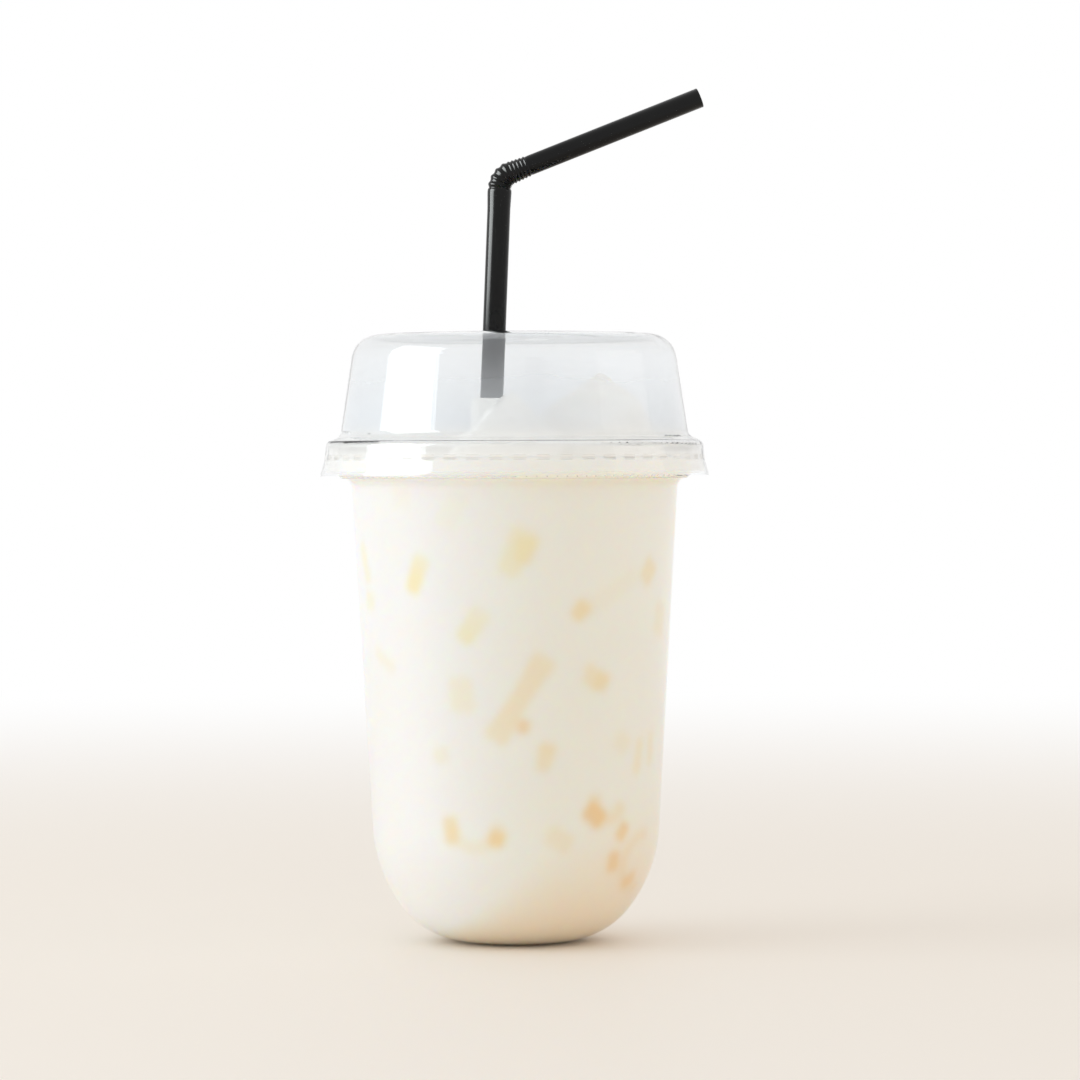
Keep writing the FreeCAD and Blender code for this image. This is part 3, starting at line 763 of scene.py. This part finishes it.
# ---------------------------------------------------------------- ice
def ice_material():
    """Cloudy ice, with a faint painted glow in place of the light that it scatters inside."""
    material, nodes, links = new_material("cloudy_ice_painted_glow")
    # The emission is a painted glow: the ice gives off light of its own, though it is no lamp.
    ice = add(nodes, "ShaderNodeBsdfPrincipled", {
        "Roughness": 0.24, "IOR": 1.31, "Transmission Weight": 0.35,
        "Emission Color": (1.0, 1.0, 0.97, 1), "Emission Strength": 0.10})
    mottle_into(nodes, links, ice, 110, (0.975, 0.98, 0.965), (1.0, 1.0, 0.99))
    ripple_into(nodes, links, ice, 140, 0.25, (1, 1, 1))
    finish(nodes, links, ice)
    return material


def ice_chunk(name, sides, centre, turns, melt, seed):
    """A block of ice with its edges and faces melted round and uneven."""
    start_afresh()
    bpy.ops.mesh.primitive_cube_add(size=1, scale=[side * MM for side in sides])
    piece = bpy.context.object
    piece.name = name
    bpy.ops.object.transform_apply(location=True, rotation=True, scale=True)
    edit("EDGE")
    bpy.ops.mesh.select_all(action="SELECT")
    bpy.ops.mesh.bevel(offset=melt * MM, segments=3, profile=0.55)
    bpy.ops.mesh.select_all(action="SELECT")
    bpy.ops.mesh.subdivide(number_cuts=3)
    bpy.ops.object.mode_set(mode="OBJECT")
    finish_modifier(piece, "SUBSURF", levels=1, render_levels=1)
    waves = bpy.data.textures.new(f"{name}_waves", "CLOUDS")
    waves.noise_scale = 6.5 * MM
    piece.location = (seed * 0.1, 0, 0)
    finish_modifier(piece, "DISPLACE", texture=waves, texture_coords="GLOBAL",
                    strength=0.9 * MM, mid_level=0.55)
    piece.location = centre
    piece.rotation_euler = [math.radians(turn) for turn in turns]
    settle(piece)
    return piece


def middle(node):
    low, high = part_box(node)
    return (Vector(low) + Vector(high)) / 2


cloudy_ice_painted_glow = ice_material()
ice_front = ice_chunk("ice_front_cube", (19.6, 19.6, 19.6), middle("ice_front"),
                      (18, 43, 0), 2.4, 1)
ice_right = ice_chunk("ice_right_cube", (20.6, 20.6, 20.6), middle("ice_right"),
                      (28, -34, 15), 2.6, 2)
ice_left = ice_chunk("ice_left_lump", (8.4, 8.6, 19.0), Vector((-0.0062, -0.0081, 0.1221)),
                     (0, 0, 4), 1.2, 3)
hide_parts("ice_front")
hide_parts("ice_right")
for chunk, slot in ((ice_front, "ice_front"), (ice_left, "ice_front"),
                    (ice_right, "ice_right")):
    give(chunk, cloudy_ice_painted_glow)
    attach(chunk, "root")


# ---------------------------------------------------------------- floor, light, camera
FLOOR_SIZE = 8
FLOOR_LEVEL = -0.0002
FLOOR_FADE = (0.15, 1.2)
LAMP_AIM = Vector((0, 0, 0.08))
CAMERA_PLACE = Vector((0.0061, -1.1, 0.1173))
CAMERA_AIM = Vector((0.0061, 0, 0.0972))
CAMERA_ROLL = math.radians(-0.22)


def backdrop_rays(nodes, links):
    """1 for the rays that show the backdrop: straight, mirrored or through clear walls."""
    path = add(nodes, "ShaderNodeLightPath")
    total = path.outputs["Is Camera Ray"]
    for ray in ("Is Glossy Ray", "Is Transmission Ray"):
        either = add(nodes, "ShaderNodeMath", operation="MAXIMUM")
        links.new(total, either.inputs[0])
        links.new(path.outputs[ray], either.inputs[1])
        total = either.outputs["Value"]
    return total


def floor_material():
    """A pale floor under the cup that runs out to the white of the backdrop."""
    material, nodes, links = new_material("floor_pale")
    surface = add(nodes, "ShaderNodeBsdfPrincipled", {
        "Base Color": (0.93, 0.88, 0.81, 1), "Roughness": 0.6})
    white = add(nodes, "ShaderNodeEmission", {"Strength": 1.0})
    away = add(nodes, "ShaderNodeVectorMath", operation="LENGTH")
    share = add(nodes, "ShaderNodeMath", operation="MULTIPLY")
    mix = add(nodes, "ShaderNodeMixShader")
    links.new(object_place(nodes, links)[0], away.inputs[0])
    links.new(ease(nodes, links, away.outputs["Value"], *FLOOR_FADE), share.inputs[0])
    links.new(backdrop_rays(nodes, links), share.inputs[1])
    links.new(share.outputs["Value"], mix.inputs["Fac"])
    links.new(surface.outputs["BSDF"], mix.inputs[1])
    links.new(white.outputs["Emission"], mix.inputs[2])
    finish(nodes, links, mix)
    return material


start_afresh()
bpy.ops.mesh.primitive_plane_add(size=FLOOR_SIZE, location=(0, 0, FLOOR_LEVEL))
floor = bpy.context.object
floor.name = "floor"
settle(floor)
give(floor, floor_material())

world = bpy.data.worlds.new("studio")
bpy.context.scene.world = world
world.use_nodes = True
nodes, links = world.node_tree.nodes, world.node_tree.links
nodes.clear()
world_out = add(nodes, "ShaderNodeOutputWorld")
soft = add(nodes, "ShaderNodeBackground", {"Color": (1.0, 0.965, 0.93, 1), "Strength": 0.82})
white = add(nodes, "ShaderNodeBackground", {"Color": (1, 1, 1, 1), "Strength": 1.0})
pick = add(nodes, "ShaderNodeMixShader")
links.new(backdrop_rays(nodes, links), pick.inputs["Fac"])
links.new(soft.outputs["Background"], pick.inputs[1])
links.new(white.outputs["Background"], pick.inputs[2])
links.new(pick.outputs["Shader"], world_out.inputs["Surface"])


def soft_box(name, azimuth, distance, height, width, tall, power, color):
    """A soft lamp, its azimuth in degrees to the right of the front, aimed at the cup."""
    lamp = bpy.data.lights.new(name, "AREA")
    lamp.shape = "RECTANGLE"
    lamp.size, lamp.size_y = width, tall
    lamp.energy = power
    lamp.color = color
    holder = bpy.data.objects.new(name, lamp)
    bpy.context.scene.collection.objects.link(holder)
    turn = math.radians(azimuth)
    place = Vector((math.sin(turn) * distance, -math.cos(turn) * distance, height))
    holder.location = place
    holder.rotation_euler = (LAMP_AIM - place).to_track_quat("-Z", "Y").to_euler()
    return holder


soft_box("window_left", -77, 1.0, 0.36, 0.85, 0.6, 2.9, (0.86, 0.94, 1.0))
shine = soft_box("window_shine", -78, 1.02, 0.51, 0.80, 0.82, 8.0, (0.96, 1.0, 0.99))
stripe = soft_box("straw_stripe", -80, 1.02, 0.45, 0.80, 0.90, 34.0, (0.96, 1.0, 0.99))
# These two only make reflections, and the stripe's falls on the straw alone.
for lamp in (shine, stripe):
    lamp.visible_diffuse = False
    lamp.visible_transmission = False
lit_straw = bpy.data.collections.new("straw_only")
lit_straw.objects.link(straw)
stripe.light_linking.receiver_collection = lit_straw
fill = soft_box("fill_right", 82, 1.2, 0.25, 0.9, 0.9, 1.4, (1.0, 0.90, 0.83))
fill.visible_glossy = False

camera_data = bpy.data.cameras.new("camera")
camera_data.lens = 150.9
camera_data.sensor_width = 36
camera = bpy.data.objects.new("camera", camera_data)
bpy.context.scene.collection.objects.link(camera)
aim = (CAMERA_AIM - CAMERA_PLACE).to_track_quat("-Z", "Y").to_matrix()
camera.location = CAMERA_PLACE
camera.rotation_euler = (aim @ Matrix.Rotation(CAMERA_ROLL, 3, "Z")).to_euler()
bpy.context.scene.camera = camera
bpy.context.scene.view_settings.view_transform = "Standard"
